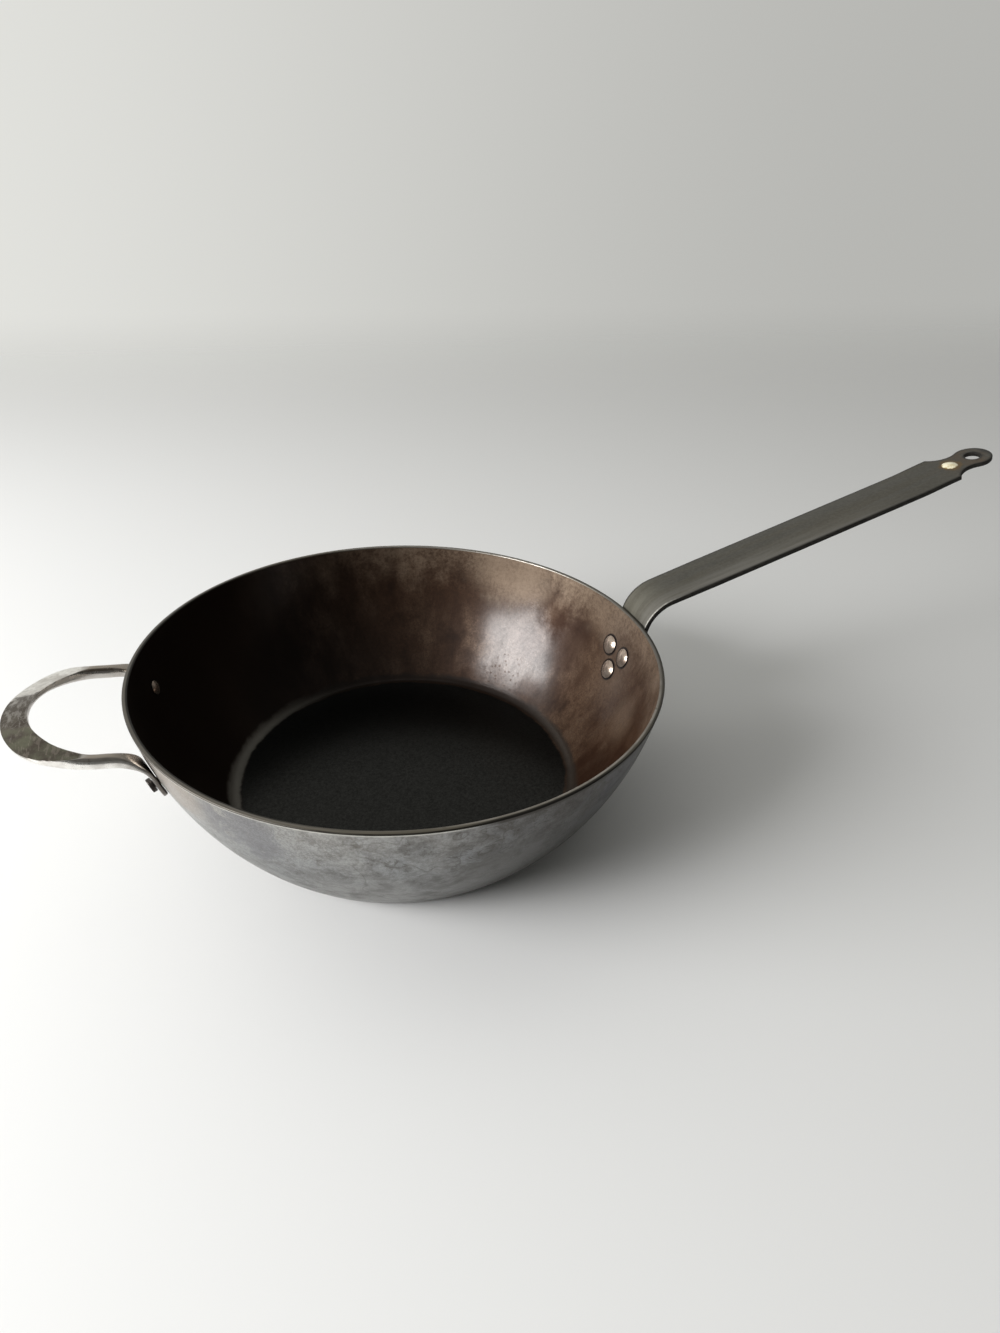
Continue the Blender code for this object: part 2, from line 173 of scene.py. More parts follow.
def remap(value, low, high, newLow=0, newHigh=1):
    return add("MapRange", {0: value, 1: low, 2: high, 3: newLow, 4: newHigh},
               interpolation_type="SMOOTHSTEP").outputs[0]


def mix(factor, first, second):
    first, second = [colour if isSocket(colour) else (*colour, 1) for colour in (first, second)]
    return add("Mix", {0: factor, 6: first, 7: second}, data_type="RGBA").outputs[2]


def stack(base, look, layers):
    # mask, strength and colour of each layer, the lowest first
    for mask, strength, colour in layers:
        base = mix(times(mask, strength), base, look[colour])
    return base


def split(vector):
    return add("SeparateXYZ", {0: vector}).outputs


def distance(vector, point):
    return add("VectorMath", {0: vector, 1: point}, operation="DISTANCE").outputs["Value"]


def attribute(material, name):
    return source(material.node_tree, "Attribute", attribute_name=name).outputs["Fac"]


def place(group, *inputs, output=0):
    # inputs in the order of the group's sockets, the rest keep their values
    return add("Group", dict(enumerate(inputs)), node_tree=group).outputs[output]


def startGroup(name, inputs, outputs=("Mask",)):
    # a vector comes first, then numbers with the values that they have when nothing else is given
    group = bpy.data.node_groups.new(name, "ShaderNodeTree")
    newSocket = group.interface.new_socket
    newSocket("Vector", in_out="INPUT", socket_type="NodeSocketVector")
    for socketName, value in inputs.items():
        newSocket(socketName, in_out="INPUT", socket_type="NodeSocketFloat").default_value = value
    for socketName in outputs:
        kind = "Vector" if socketName == "Vector" else "Float"
        newSocket(socketName, in_out="OUTPUT", socket_type="NodeSocket" + kind)
    return group, group.nodes.new("NodeGroupInput").outputs, group.nodes.new("NodeGroupOutput")


def startMaterial(name):
    material = bpy.data.materials.new(name)
    material.use_nodes = True
    return material, source(material.node_tree, "TexCoord").outputs["Object"]


def dress(material, inputs, bump, field):
    # the shader's inputs, and a bump of this strength and depth from a field of heights
    normal = add("Bump", {"Strength": bump[0], "Distance": bump[1], "Height": field}).outputs[0]
    fill(material.node_tree.nodes["Principled BSDF"], {**inputs, "Normal": normal})
    return material


# Effects that several finishes share

def makeMottle():
    # soft cloudy patches: 1 in the patches and 0 between them
    group, given, out = startGroup("mottle", {
        "Scale": 60, "Detail": 5, "Low": 0.4, "High": 0.6, "Roughness": 0.6, "Distortion": 0,
    })
    names = ("Vector", "Scale", "Detail", "Roughness", "Distortion")
    field = add("TexNoise", {name: given[name] for name in names}).outputs["Fac"]
    fill(out, {"Mask": remap(field, given["Low"], given["High"])})
    return group


def makeTurned():
    # coordinates on a turned form: Around stretches along the circle, Along runs from the centre up the wall
    group, given, out = startGroup("turned", {"Around": 1, "Along": 1}, ("Vector", "Radius"))
    parts = split(given["Vector"])
    flat = add("CombineXYZ", {0: parts[0], 1: parts[1]}).outputs[0]
    radius = add("VectorMath", {0: flat}, operation="LENGTH").outputs["Value"]
    outward = add("VectorMath", {0: flat}, operation="NORMALIZE").outputs[0]
    around = split(add("VectorMath", {0: outward, "Scale": given["Around"]}, operation="SCALE").outputs[0])
    along = times(plus(radius, parts[2]), given["Along"])
    vector = add("CombineXYZ", {0: around[0], 1: around[1], 2: along}).outputs[0]
    fill(out, {"Vector": vector, "Radius": radius})
    return group


def makeScratches():
    # fine curved lines, broken up along their length
    group, given, out = startGroup("scratches", {"Scale": 40, "Width": 0.01, "Amount": 0.5})
    field = add("TexNoise", {
        "Vector": given["Vector"], "Scale": given["Scale"], "Detail": 1.5, "Roughness": 0.5,
    }).outputs["Fac"]
    away = absolute(minus(field, 0.5))
    line = add("MapRange", {0: away, 1: 0, 2: given["Width"], 3: 1, 4: 0}).outputs[0]
    # the gaps are taken from another part of the noise than the lines
    shifted = add("VectorMath", {0: given["Vector"], 1: (3.1, 7.7, 1.9)}, operation="ADD").outputs[0]
    gaps = add("TexNoise", {
        "Vector": shifted, "Scale": times(given["Scale"], 0.7), "Detail": 2,
    }).outputs["Fac"]
    limit = minus(0.75, times(given["Amount"], 0.5))
    fill(out, {"Mask": times(line, remap(gaps, limit, plus(limit, 0.08)))})
    return group


def makeSpecks():
    # small round spots of mixed size
    group, given, out = startGroup("specks", {"Scale": 400, "Size": 0.35, "Share": 0.3})
    cells = add("TexVoronoi", {"Vector": given["Vector"], "Scale": given["Scale"]}).outputs
    picked = calc("LESS_THAN", add("SeparateColor", {0: cells["Color"]}).outputs[0], given["Share"])
    spot = remap(cells["Distance"], given["Size"], times(given["Size"], 0.4))
    fill(out, {"Mask": times(spot, picked)})
    return group


mottle = partial(place, makeMottle())
turned = partial(place, makeTurned())
scratches = partial(place, makeScratches())
specks = partial(place, makeSpecks())


# The bowl, pressed from one sheet

bowl = {
    "sheet": 0.003,
    "floorRadius": 0.1088,
    "cornerRadius": 0.007,
    "cornerTurn": radians(49.8),
    "rimRounding": 0.0008,
    "turns": 288,
    "wallRings": 44,
    "floorRings": 16,
    "outerSteps": 14,     # of the corner's two arcs
    "innerSteps": 12,
    "rimSteps": 6,
    "waves": 0.00009,     # how far the sheet is from a true form
    "waveSize": 0.045,
    "waveFrom": 0.012,    # lowest height of the waves outside the floor
}


def wallArc():
    corner = bowl["cornerRadius"] + bowl["sheet"]
    turn = bowl["cornerTurn"]
    startR = bowl["floorRadius"] + corner * sin(turn)
    startZ = corner * (1 - cos(turn))
    rise = panHigh.z - startZ
    run = panHigh.x - startR
    rimSlope = 2 * atan2(rise, run) - turn
    radius = hypot(rise, run) / (2 * sin((rimSlope - turn) / 2))
    return {"rimSlope": rimSlope, "radius": radius,
            "centre": (startR - radius * sin(turn), startZ + radius * cos(turn))}


wall = wallArc()


def wallSlope(drop):
    return wall["rimSlope"] - drop / wall["radius"]


def wallPoint(drop, offset=0):
    # distance from the axis and height, drop below the rim along the wall and offset outwards
    slope = wallSlope(drop)
    reach = wall["radius"] + offset
    return wall["centre"][0] + reach * sin(slope), wall["centre"][1] - reach * cos(slope)


def wallPlace(drop, angle):
    # matrix on the outer side of the wall, its Z axis pointing out of it
    reach, height = wallPoint(drop)
    out, side = directions(angle, wallSlope(drop) - quarter)
    return facing(side, out.cross(side), out, (reach * cos(angle), reach * sin(angle), height))


def makeBowl(materials):
    sheet, rounding, turns, rings = bowl["sheet"], bowl["rimRounding"], bowl["turns"], bowl["wallRings"]
    floorR, cornerR, turn = bowl["floorRadius"], bowl["cornerRadius"], bowl["cornerTurn"]
    centre, wallR = wall["centre"], wall["radius"]
    innerSlope = acos((centre[1] - panHigh.z) / (wallR - sheet))
    innerR = centre[0] + (wallR - sheet) * sin(innerSlope)
    edgeZ = panHigh.z - rounding
    step = rounding / wallR
    outerEdge = arcPoints((panHigh.x - rounding, edgeZ), rounding, quarter, pi, bowl["rimSteps"])
    innerEdge = arcPoints((innerR + rounding, edgeZ), rounding, pi, 3 * quarter, bowl["rimSteps"])

    def oneSide(inset, cornerSteps, slope, edge):
        section = [(floorR * ring / bowl["floorRings"], inset) for ring in range(bowl["floorRings"])]
        section += arcPoints((floorR, sheet + cornerR), cornerR + sheet - inset, 0, turn, cornerSteps)
        return section + arcPoints(centre, wallR - inset, turn, slope - step, rings)[1:-1] + edge

    outside = oneSide(0, bowl["outerSteps"], wall["rimSlope"], outerEdge[:1])
    inside = oneSide(sheet, bowl["innerSteps"], innerSlope, innerEdge[-1:])
    bm = bmesh.new()
    for index, section in enumerate((inside, outside, outerEdge + innerEdge)):
        spinSection(bm, section, turns, index)
    closeMesh(bm)
    # both sides of the sheet share one faint waviness; the underside stays flat
    for vert in bm.verts:
        wave = noise.noise(vert.co / bowl["waveSize"]) * bowl["waves"]
        flatRadius = hypot(vert.co.x, vert.co.y)
        if flatRadius < floorR:
            if vert.co.z > sheet / 2:
                vert.co.z += wave
        elif vert.co.z > bowl["waveFrom"]:
            inward = abs(wave) / flatRadius
            vert.co.x -= inward * vert.co.x
            vert.co.y -= inward * vert.co.y
    fitPiece(newObject("bowl", bm, materials, 40), "pan_body")


insideFinish = {
    "floorColour": (0.029, 0.029, 0.0274),
    "floorDark": (0.0102, 0.0102, 0.0094),
    # painted reflection: the floor is painted darker towards the back, as if it mirrored the dark back wall
    "floorDarkReflection": (0.004, 0.004, 0.0036),
    "floorReflectionCentre": (-0.016, -0.076, 0.003),    # the floor is darker away from this place
    "floorRough": 0.28,
    # painted highlight on the fillet ring, with painted shade on its right and back
    "ringHighlight": (0.15, 0.142, 0.125),
    "ringRightShade": (0.026, 0.021, 0.017),
    "ringBackShade": (0.013, 0.009, 0.007),
    "ringShadeDirection": (0.36, 0.93, 0),             # direction in which the ring darkens
    "wallDark": (0.009, 0.0045, 0.0024),
    "wallDeep": (0.018, 0.008, 0.0042),
    "wallMiddle": (0.051, 0.0245, 0.0125),
    "wallLight": (0.128, 0.08, 0.051),
    "rimHaze": (0.215, 0.158, 0.113),
    "burnt": (0.026, 0.0108, 0.0055),
    "wallRough": 0.5,
    "specular": 0.11,
    "coatRough": 0.2,    # of the baked oil film, the sharpness of the window in it
    "film": 0.7,
    "bump": (0.12, 0.0003),
    # heading in degrees, height, reach, colour, strength
    "patches": [
        (18, 0.056, 0.03, "burnt", 0.72), (27, 0.066, 0.018, "burnt", 0.5),
        (-30, 0.021, 0.033, "burnt", 0.95), (9, 0.041, 0.016, "burnt", 0.45),
        (62, 0.045, 0.022, "burnt", 0.4), (45, 0.088, 0.03, "rimHaze", 0.72),
        (36, 0.082, 0.018, "rimHaze", 0.5), (8, 0.092, 0.024, "rimHaze", 0.48),
        (-3, 0.06, 0.024, "rimHaze", 0.2), (-19, 0.048, 0.018, "rimHaze", 0.2),
    ],
    # heading in degrees, height, reach, share of the film that is gone
    "dullSpots": [
        (26, 0.067, 0.02, 0.92), (50, 0.008, 0.015, 0.55),
        (41, 0.014, 0.014, 0.42), (26, 0.014, 0.014, 0.5),
        (48, 0.028, 0.018, 0.22), (20, 0.048, 0.019, 0.4),
        (2, 0.045, 0.035, 0.5), (-34, 0.027, 0.05, 0.97),
    ],
    "pitted": (38, 0.017, 0.02),
    "handleSide": 0.06,   # how far towards the long handle the darker colour reaches, in metres
    "grimeAndShade": (0.006, 0.004, 0.003),
    "grimeShadeWidth": 0.0019,
}


def spotMask(coords, edge, heading, height, reach):
    # soft spot on the wall; edge moves its outline in and out
    across = sqrt((wall["radius"] - bowl["sheet"]) ** 2 - (height - wall["centre"][1]) ** 2)
    fromAxis, angle = wall["centre"][0] + across, radians(heading)
    away = distance(coords, (fromAxis * cos(angle), fromAxis * sin(angle), height))
    return remap(plus(away, times(edge, reach)), reach * 1.15, reach * 0.35)


def seasonedInside():
    look = insideFinish
    material, coords = startMaterial("seasonedInside")
    across, _, height = split(coords)
    radius = turned(coords, output=1)
    broad = mottle(coords, 15, 3, 0.34, 0.66, 0.5)
    cloudy = mottle(coords, 36, 10, 0.28, 0.72, 0.66, 0.3)
    wiped = mottle(turned(coords, 9, 22), 1, 9, 0.28, 0.74, 0.62)
    fine = mottle(coords, 420, 6, 0.38, 0.64, 0.8)
    grain = mottle(coords, 900, 3, 0.38, 0.62, 0.8)
    turnedMarks = mottle(turned(coords, 1.2, 130), 6, 4, 0.3, 0.7)
    # the side by the long handle is lighter, the other side is near black
    shifted = plus(across, times(minus(wiped, 0.5), 0.04))
    worn = remap(shifted, look["handleSide"] - 0.15, look["handleSide"] + 0.03)
    tone = plus(times(cloudy, 0.55), times(wiped, 0.45))
    light = plus(times(tone, 0.6), times(broad, 0.4))
    nearRim = remap(plus(height, times(tone, 0.03)), 0.078, 0.118)
    hazy = minus(plus(0.48, times(cloudy, 0.6)), times(fine, 0.45))
    ragged = minus(times(tone, 0.9), 0.45)
    grained = minus(1.1, times(fine, 0.4))
    base = mix(remap(tone, 0, 0.5), look["wallDeep"], look["wallMiddle"])
    base = stack(base, look, [
        (remap(light, 0.4, 0.95), 1, "wallLight"),
        (fine, 0.42, "wallDeep"),
        (grain, 0.34, "wallDeep"),
        (times(nearRim, hazy), remap(across, -0.06, 0.05, 0.45, 1), "rimHaze"),
        *[(times(spotMask(coords, ragged, *spot), grained), strength, colour)
          for *spot, colour, strength in look["patches"]],
    ])
    base = mix(worn, look["wallDark"], base)
    # a dark ring round each rivet head: partly grime in the crevice, partly painted shade where the head
    # meets the wall
    for size, drop, angle in rivetPlaces():
        seat = wallPlace(drop, angle) @ Vector((0, 0, -bowl["sheet"]))
        crevice = remap(distance(coords, seat), size["head"] + look["grimeShadeWidth"], size["head"] + 0.0008)
        base = mix(crevice, base, look["grimeAndShade"])
    # the fillet is a painted highlight ring, lighter on the left, with painted shade towards the right and
    # the back; the floor inside it is black
    edged = plus(radius, times(minus(cloudy, 0.5), 0.002))
    onRing = times(remap(edged, 0.1165, 0.1135), remap(edged, 0.1072, 0.1095))
    onFloor = remap(edged, 0.109, 0.1065)
    ringShadeDirection = add("VectorMath", {0: coords, 1: look["ringShadeDirection"]}, operation="DOT_PRODUCT").outputs["Value"]
    ring = mix(remap(across, -0.04, 0.09), look["ringHighlight"], look["ringRightShade"])
    ring = mix(remap(ringShadeDirection, 0.02, 0.1), ring, look["ringBackShade"])
    flatFloor = mix(plus(times(fine, 0.5), times(grain, 0.5)), look["floorColour"], look["floorDark"])
    # painted reflection: the floor darkens away from this place, standing in for the dark back wall it would
    # mirror
    away = remap(distance(coords, look["floorReflectionCentre"]), 0.104, 0.136, 0, 0.55)
    flatFloor = mix(away, flatFloor, look["floorDarkReflection"])
    base = mix(onFloor, mix(times(onRing, 0.85), base, ring), flatFloor)
    metal = times(minus(1, onFloor), plus(0.25, times(tone, 0.3)))
    rough = minus(look["wallRough"], times(tone, 0.08))
    smooth = times(onFloor, minus(rough, look["floorRough"]))
    # the film of baked oil, thin where pits, dull spots and grain break it up
    pitted = plus(0.1, times(spotMask(coords, ragged, *look["pitted"]), 0.6))
    pitted = times(specks(coords, 420, 0.5, 0.3), pitted)
    film = times(remap(radius, 0.108, 0.118, 0, look["film"]), remap(tone, 0.1, 0.8, 0.85, 1.1))
    film = times(film, plus(0.3, times(worn, 0.7)))
    film = times(film, minus(1.18, times(fine, 0.28)))
    spots = [times(spotMask(coords, ragged, *spot), share) for *spot, share in look["dullSpots"]]
    for gone in [pitted] + spots:
        film = times(film, minus(1, gone))
    field = minus(plus(times(turnedMarks, 0.4), times(fine, 0.6)), times(pitted, 0.9))
    return dress(material, {
        "Base Color": base,
        "Metallic": plus(metal, times(onFloor, 0.95)),
        "Roughness": minus(rough, smooth),
        "Specular IOR Level": look["specular"],
        "Coat Weight": film,
        "Coat Roughness": look["coatRough"],
    }, look["bump"], field)


outsideFinish = {
    "steel": (0.385, 0.385, 0.376),
    "blue": (0.284, 0.297, 0.31),
    "stain": (0.098, 0.094, 0.084),
    "straw": (0.36, 0.27, 0.195),
    "brown": (0.056, 0.05, 0.044),
    "soot": (0.012, 0.011, 0.01),
    "paintedSheen": (0.68, 0.672, 0.645),
    "edge": (0.66, 0.65, 0.6),
    "purple": (0.15, 0.15, 0.168),
    "rough": 0.29,
    "bump": (0.07, 0.0003),
    # heading in degrees, height, reach, colour, strength
    "patches": [
        (226, 0.08, 0.022, "purple", 0.6), (212, 0.09, 0.016, "straw", 0.32),
        (276, 0.048, 0.026, "stain", 0.7), (300, 0.08, 0.022, "purple", 0.6),
    ],
}


def heatedOutside():
    look = outsideFinish
    material, coords = startMaterial("heatedOutside")
    across, _, height = split(coords)
    arcs = turned(coords, 4, 34)
    broad = mottle(coords, 16, 4, 0.35, 0.65)
    cloudy = mottle(coords, 60, 12, 0.44, 0.66, 0.7, 0.5)
    edges = mottle(coords, 44, 12, 0.52, 0.58, 0.66, 0.8)
    marks = mottle(coords, 130, 12, 0.53, 0.57, 0.74, 0.9)
    smears = mottle(arcs, 1.7, 12, 0.48, 0.6, 0.72)
    fine = mottle(coords, 380, 6, 0.36, 0.64, 0.8)
    grain = mottle(coords, 850, 3, 0.4, 0.6, 0.8)
    turnedMarks = mottle(turned(coords, 1.5, 150), 6, 3, 0.3, 0.7)
    # straw tint near the rim and by the helper handle; a painted sheen on the side towards the window; brown
    # towards the long handle, painted darker there as shade
    nearRim = remap(plus(height, times(cloudy, 0.02)), 0.06, 0.112)
    byHelper = remap(plus(across, times(broad, 0.03)), -0.06, -0.14)
    lit = remap(plus(across, times(cloudy, 0.03)), -0.005, -0.085)
    byHandle = remap(plus(across, times(cloudy, 0.02)), -0.03, 0.055)
    # painted shade: the steel is painted darker towards the bottom, standing in for the contact shadow by the
    # foot
    bottomShade = remap(minus(height, times(cloudy, 0.01)), 0.074, 0.006)
    ragged = minus(times(edges, 0.7), 0.35)
    # the edge under the rim is rubbed bright, except by the long handle, where a band under the rim is
    # painted darker as shade
    fromRim = minus(panHigh.z, height)
    rubbed = times(remap(fromRim, 0.0021, 0.0011), remap(across, 0.002, -0.022))
    base = stack(mix(broad, look["steel"], look["blue"]), look, [
        (cloudy, 0.36, "stain"),
        (edges, 0.26, "stain"),
        (marks, remap(broad, 0.2, 0.8, 0.15, 0.85), "stain"),
        (smears, 0.42, "stain"),
        (specks(coords, 170, 0.3, 0.14), 0.4, "stain"),
        (scratches(arcs, 5, 0.01, 0.7), 0.45, "stain"),
        (scratches(coords, 42, 0.014, 1.1), 0.65, "stain"),
        (times(nearRim, plus(0.12, byHelper)), 0.8, "straw"),
        # painted sheen: the side towards the window is painted brighter, most near the rim
        (lit, remap(height, 0.045, 0.09, 0.06, 0.5), "paintedSheen"),
        (byHandle, 0.8, "brown"),
        (fine, 0.2, "stain"),
        (grain, remap(absolute(plus(across, 0.02)), 0.02, 0.09, 0.18, 0.36), "soot"),
        (bottomShade, remap(across, -0.05, 0.01, 0.7, 1), "stain"),
        *[(spotMask(coords, ragged, *spot), strength, colour) for *spot, colour, strength in look["patches"]],
        # painted shade: a darker brown band under the rim towards the long handle
        (remap(fromRim, 0.0036, 0.0018), remap(across, -0.008, 0.012, 0, 0.85), "brown"),
        (rubbed, minus(0.85, times(cloudy, 0.4)), "edge"),
    ])
    rough = plus(plus(look["rough"], times(cloudy, 0.08)), times(smears, 0.06))
    field = plus(times(turnedMarks, 0.5), times(fine, 0.5))
    return dress(material, {"Base Color": base, "Metallic": 1, "Roughness": rough}, look["bump"], field)


rimFinish = {
    "worn": (0.34, 0.315, 0.285),
    "dull": (0.125, 0.112, 0.09),
    "dullSides": (0.054, 0.05, 0.043),
    "outerEdgeShade": (0.035, 0.032, 0.028),
    "innerDark": (0.012, 0.011, 0.009),
    "rough": 0.33,
    "bump": (0.15, 0.0002),
}


def wornRim():
    look = rimFinish
    material, coords = startMaterial("wornRim")
    across = split(coords)[0]
    inset = minus(panHigh.x, turned(coords, output=1))
    grimy = mottle(coords, 60, 6, 0.36, 0.66)
    dull = mix(remap(absolute(across), 0.07, 0.13), look["dull"], look["dullSides"])
    inward = times(remap(inset, 0.0012, 0.0021),
                   remap(absolute(plus(across, 0.045)), 0.015, 0.06, 0.15, 1))
    inward = times(inward, remap(across, -0.15, -0.1, 0.2, 1))
    frontRight = times(remap(across, -0.02, 0.01), remap(across, 0.1, 0.06))
    # by the helper handle only the outer half is rubbed, the inner half is darker
    byHelper = remap(across, -0.04, -0.1)
    base = stack(dull, look, [
        (inward, remap(across, 0.15, 0.12, 0.45, 1), "worn"),
        (grimy, 0.5, "dull"),
        (specks(coords, 300, 0.5, 0.12), 0.6, "dull"),
        (byHelper, 0.22, "worn"),
        (times(remap(inset, 0.0014, 0.0022), byHelper), 0.92, "innerDark"),
        # painted shade: a dark band along the rim's outer edge, wider at the front right
        (remap(inset, 0.0017, 0.001), frontRight, "outerEdgeShade"),
        (remap(inset, 0.0008, 0.0002), 0.8, "outerEdgeShade"),
    ])
    rough = plus(look["rough"], times(grimy, 0.15))
    return dress(material, {"Base Color": base, "Metallic": 1, "Roughness": rough}, look["bump"], grimy)


# The long handle, bent from one blank of strip steel

strip = {
    "thickness": 0.003,
    "width": 0.0345,
    "tabWidth": 0.033,
    "tabDrop": 0.053,
    "tabEnd": 0.013,
    "liftDrop": 0.0025,
    "bendRadius": 0.027,
    "gripSlope": radians(16.8),
    "gripLength": 0.252,
    "gripCrown": 0.0011,
    "crownRun": 0.032,
    "dishRun": 0.012,
    "eyeRadius": 0.0125,
    "neckWidth": 0.0204,
    "neckSetback": 0.0115,
    "holeRadius": 0.005,
    "edgeRound": 0.0006,
    "endSteps": 16,
    "neckSteps": 20,
    "eyeSteps": 28,
    "holeSteps": 24,
    "step": 0.003,        # length of a facet along the strip
    "cuts": (0.18, 0.36, 0.54, 0.7, 0.82, 0.91),    # facets across it, as shares of the half width
}


def stripPath():
    liftSlope = wallSlope(strip["liftDrop"])
    tabLength = strip["tabDrop"] - strip["liftDrop"]
    bendLength = strip["bendRadius"] * (liftSlope - strip["gripSlope"])
    return {
        "tabLength": tabLength,
        "liftSlope": liftSlope,
        "lift": wallPoint(strip["liftDrop"], seatGap),
        "bendLength": bendLength,
        "gripStart": tabLength + bendLength,
        "eye": tabLength + bendLength + strip["gripLength"],
    }


path = stripPath()


def pathAt(along):
    # distance from the pan's axis, height and slope of the strip's seat side
    if along < path["tabLength"]:
        drop = strip["tabDrop"] - along
        return *wallPoint(drop, seatGap), wallSlope(drop)
    lift, bendR = path["liftSlope"], strip["bendRadius"]
    slope = lift - min(along - path["tabLength"], path["bendLength"]) / bendR
    x = path["lift"][0] + bendR * (sin(lift) - sin(slope))
    z = path["lift"][1] + bendR * (cos(slope) - cos(lift))
    straight = max(along - path["gripStart"], 0)
    return x + straight * cos(slope), z + straight * sin(slope), slope


def pathPlace(along):
    # matrix on the seat side of the strip, its Z axis pointing up out of the grip
    x, z, slope = pathAt(along)
    forward = directions(0, slope)[0]
    up = directions(0, slope + quarter)[0]
    return facing(forward, up.cross(forward), up, (x, 0, z))


def stripOutline():
    # one edge of the blank, from the tab's end to the eye's end, as distance along and half width
    half, tabHalf, neckHalf = strip["width"] / 2, strip["tabWidth"] / 2, strip["neckWidth"] / 2
    eyeR, setback = strip["eyeRadius"], strip["neckSetback"]
    tabEnd = arcPoints((1, 0), 1, -quarter, 0, strip["endSteps"])
    edge = [(strip["tabEnd"] * along, -tabHalf * across) for along, across in tabEnd]
    edge += [(path["tabLength"], tabHalf), (path["gripStart"] + strip["crownRun"], half)]
    neckR = (setback ** 2 + neckHalf ** 2 - eyeR ** 2) / (2 * (eyeR - neckHalf))
    neckAlong = path["eye"] - setback
    neckAcross = neckHalf + neckR
    shoulderAngle = acos((neckAcross - half) / neckR)
    neckEnd = atan2(setback, neckAcross)
    edge += arcPoints((neckAlong, neckAcross), neckR, -shoulderAngle, neckEnd, strip["neckSteps"])
    join = quarter + atan2(neckAcross, -setback)
    edge += arcPoints((path["eye"], 0), eyeR, join, quarter, strip["eyeSteps"])[1:]
    return edge, neckAlong - neckR * sin(shoulderAngle)


def bowOf(along, shoulder):
    # how far the edges of the section bend away from its middle
    reach, _, slope = pathAt(along)
    dish = -((strip["width"] / 2) ** 2) * sin(slope) / (2 * reach)
    dish *= 1 - smoothStep((along - path["tabLength"] + strip["dishRun"]) / strip["dishRun"])
    crown = strip["gripCrown"] * smoothStep((along - path["tabLength"]) / strip["crownRun"])
    return dish + crown * smoothStep((shoulder - along) / strip["crownRun"])


def distanceToLine(point, line):
    nearest = 1
    for first, second in zip(line, line[1:]):
        start, run = Vector(first), Vector(second) - Vector(first)
        share = min(max((point - start).dot(run) / max(run.length_squared, 1e-12), 0), 1)
        nearest = min(nearest, (point - start - run * share).length)
    return nearest


def makeStripHandle(materials):
    edge, shoulder = stripOutline()
    notch = arcPoints((path["eye"], 0), strip["holeRadius"], quarter, 3 * quarter, strip["holeSteps"])
    thickness, half = strip["thickness"], strip["width"] / 2
    bm = bmesh.new()
    face = bm.faces.new([bm.verts.new((along, across, 0)) for along, across in edge + notch])
    lifted = bmesh.ops.extrude_face_region(bm, geom=[face])["geom"]
    bmesh.ops.translate(bm, verts=[item for item in lifted if isinstance(item, bmesh.types.BMVert)],
                        vec=(0, 0, thickness))
    middle = [item for item in bm.faces if all(abs(vert.co.y) < 1e-7 for vert in item.verts)]
    bmesh.ops.delete(bm, geom=middle, context="FACES")
    rims = [item for item in bm.edges if len(item.link_faces) == 2
            and abs(item.verts[0].co.z - item.verts[1].co.z) < 1e-6]
    bmesh.ops.bevel(bm, geom=rims, offset=strip["edgeRound"], offset_type="OFFSET", segments=3,
                    profile=0.5, affect="EDGES", material=-1)
    for item in bm.faces:
        item.normal_update()
        item.material_index = int(abs(item.normal.z) < 0.975)    # 1 is the cut side
    # cuts along and across give the blank the points that it bends at
    count = int((path["eye"] + strip["eyeRadius"]) / strip["step"])
    cuts = [((step * strip["step"], 0, 0), (1, 0, 0)) for step in range(1, count)]
    cuts += [((0, share * half, 0), (0, 1, 0)) for share in strip["cuts"]]
    for point, direction in cuts:
        bmesh.ops.bisect_plane(bm, geom=whole(bm), dist=1e-6, plane_co=point, plane_no=direction)
    edgeLayer = bm.verts.layers.float.new("edgeDistance")
    for vert in bm.verts:
        flat = Vector((vert.co.x, vert.co.y))
        inFace = min(vert.co.z, thickness - vert.co.z) < 1e-6
        vert[edgeLayer] = min(distanceToLine(flat, edge), distanceToLine(flat, notch)) if inFace else 0
    bmesh.ops.mirror(bm, geom=whole(bm), axis="Y", merge_dist=1e-6)
    closeMesh(bm)
    flatMap = bm.loops.layers.uv.new("flat")
    for item in bm.faces:
        for loop in item.loops:
            loop[flatMap].uv = (loop.vert.co.x, loop.vert.co.y)
    for vert in bm.verts:
        along, across, depth = vert.co
        x, z, slope = pathAt(along)
        depth += bowOf(along, shoulder) * (across / half) ** 2
        vert.co = (x + depth * sin(slope), across, z - depth * cos(slope))
    bmesh.ops.recalc_face_normals(bm, faces=bm.faces)
    fitPiece(newObject("stripHandle", bm, materials, 40), "long_handle")


stripFinish = {
    "coat": (0.05, 0.047, 0.037),
    "olive": (0.058, 0.05, 0.032),
    "rootCoat": (0.115, 0.108, 0.083),
    "paleToneAndSheen": (0.14, 0.133, 0.117),
    "side": (0.01, 0.009, 0.0075),
    "sideScale": (0.022, 0.02, 0.017),
    "rust": (0.072, 0.048, 0.028),
    "bareAndGlint": (0.6, 0.58, 0.53),
    "stain": (0.105, 0.062, 0.018),
    "metallic": 0.35,
    "specular": 0.4,
    "rough": 0.44,
    "bump": (0.14, 0.0002),
    "sideSpecular": 0.15,
    "sideRough": 0.45,
    "sideBump": (0.3, 0.0002),
}


